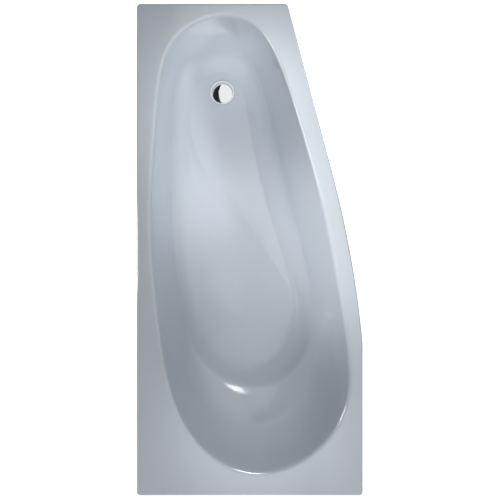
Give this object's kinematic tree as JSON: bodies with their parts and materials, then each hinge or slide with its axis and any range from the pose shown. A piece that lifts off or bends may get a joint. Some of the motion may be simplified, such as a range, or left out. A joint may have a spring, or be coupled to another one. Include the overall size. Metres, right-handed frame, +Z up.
{
  "type": "bathtub",
  "caption": "Tapered, asymmetric built-in bathtub of enamelled steel, with a hollowed backrest and seat, a push-open waste, a trap and height-adjustable feet.",
  "frame": {"origin": "on the floor, under the centre of the rim's outer box", "axes": "+X to the right as seen from above with the narrow foot end at the top, +Y towards the narrow foot end with the drain, +Z up"},
  "size_m": [0.735, 1.6, 0.57],
  "materials": {
    "enamel": "glossy vitreous enamel, pale blue grey, on pressed steel",
    "galvanised": "zinc plated steel",
    "bitumen": "dull dark grey sound mat",
    "foam": "pale rigid foam",
    "foot_plastic": "black polyamide, slightly textured",
    "seal": "black rubber",
    "chrome": "polished chrome plate",
    "stainless": "stainless steel, fine turned",
    "white_plastic": "white polypropylene, satin",
    "grey_plastic": "dark grey acetal"
  },
  "bodies": {
    "tub": {"tub_shell": "enamel", "earth_lug": "enamel", "mat_under_seat": "bitumen", "mat_left_wall": "bitumen", "mat_right_wall": "bitumen", "mat_backrest": "bitumen", "rail_drain_end": "galvanised", "rail_head_end": "galvanised", "support_block_drain": "foam", "support_block_head": "foam", "weld_nuts": "galvanised", "lock_nuts": "galvanised", "rail_end_caps": "foot_plastic", "block_screws": "galvanised", "flange_gasket": "seal", "lower_gasket": "seal", "waste_flange": "chrome", "valve_cartridge": "grey_plastic", "cartridge_guide": "grey_plastic", "cartridge_spring": "stainless", "waste_body": "white_plastic", "trap_bend": "white_plastic", "trap_inlet_nut": "white_plastic", "trap_outlet_nut": "white_plastic", "trap_seals": "seal", "outlet_pipe": "white_plastic", "cleaning_cap": "white_plastic", "cleaning_seal": "seal"},
    "plug": {"plug_cap": "chrome", "plug_seal": "seal", "plug_stem": "stainless"},
    "foot_drain_left": {"foot_pad_drain_left": "foot_plastic"},
    "stud_drain_left": {"foot_stud_drain_left": "galvanised"},
    "foot_drain_right": {"foot_pad_drain_right": "foot_plastic"},
    "stud_drain_right": {"foot_stud_drain_right": "galvanised"},
    "foot_head_left": {"foot_pad_head_left": "foot_plastic"},
    "stud_head_left": {"foot_stud_head_left": "galvanised"},
    "foot_head_right": {"foot_pad_head_right": "foot_plastic"},
    "stud_head_right": {"foot_stud_head_right": "galvanised"}
  },
  "joints": [
    {"name": "plug_lift", "type": "slide", "parent": "tub", "child": "plug", "axis": [0, 0, 1], "range_m": [0, 0.009], "deforming": ["cartridge_spring"]},
    {"name": "foot_height_drain_left", "type": "slide", "parent": "tub", "child": "foot_drain_left", "axis": [0, 0, -1], "range_m": [-0.012, 0.03]},
    {"name": "stud_turn_drain_left", "type": "hinge", "parent": "foot_drain_left", "child": "stud_drain_left", "pos_m": [-0.247, 0.33, 0], "axis": [0, 0, -1], "range_deg": [-2479, 6182]},
    {"name": "foot_height_drain_right", "type": "slide", "parent": "tub", "child": "foot_drain_right", "axis": [0, 0, -1], "range_m": [-0.012, 0.03]},
    {"name": "stud_turn_drain_right", "type": "hinge", "parent": "foot_drain_right", "child": "stud_drain_right", "pos_m": [0.117, 0.33, 0], "axis": [0, 0, -1], "range_deg": [-2479, 6182]},
    {"name": "foot_height_head_left", "type": "slide", "parent": "tub", "child": "foot_head_left", "axis": [0, 0, -1], "range_m": [-0.012, 0.03]},
    {"name": "stud_turn_head_left", "type": "hinge", "parent": "foot_head_left", "child": "stud_head_left", "pos_m": [-0.195, -0.27, 0], "axis": [0, 0, -1], "range_deg": [-2479, 6182]},
    {"name": "foot_height_head_right", "type": "slide", "parent": "tub", "child": "foot_head_right", "axis": [0, 0, -1], "range_m": [-0.012, 0.03]},
    {"name": "stud_turn_head_right", "type": "hinge", "parent": "foot_head_right", "child": "stud_head_right", "pos_m": [0.205, -0.27, 0], "axis": [0, 0, -1], "range_deg": [-2479, 6182]}
  ],
  "couplings": [
    {"joint": "stud_turn_drain_left", "follows": "foot_height_drain_left", "rad_per_m": 3590.4},
    {"joint": "stud_turn_drain_right", "follows": "foot_height_drain_right", "rad_per_m": 3590.4},
    {"joint": "stud_turn_head_left", "follows": "foot_height_head_left", "rad_per_m": 3590.4},
    {"joint": "stud_turn_head_right", "follows": "foot_height_head_right", "rad_per_m": 3590.4}
  ]
}
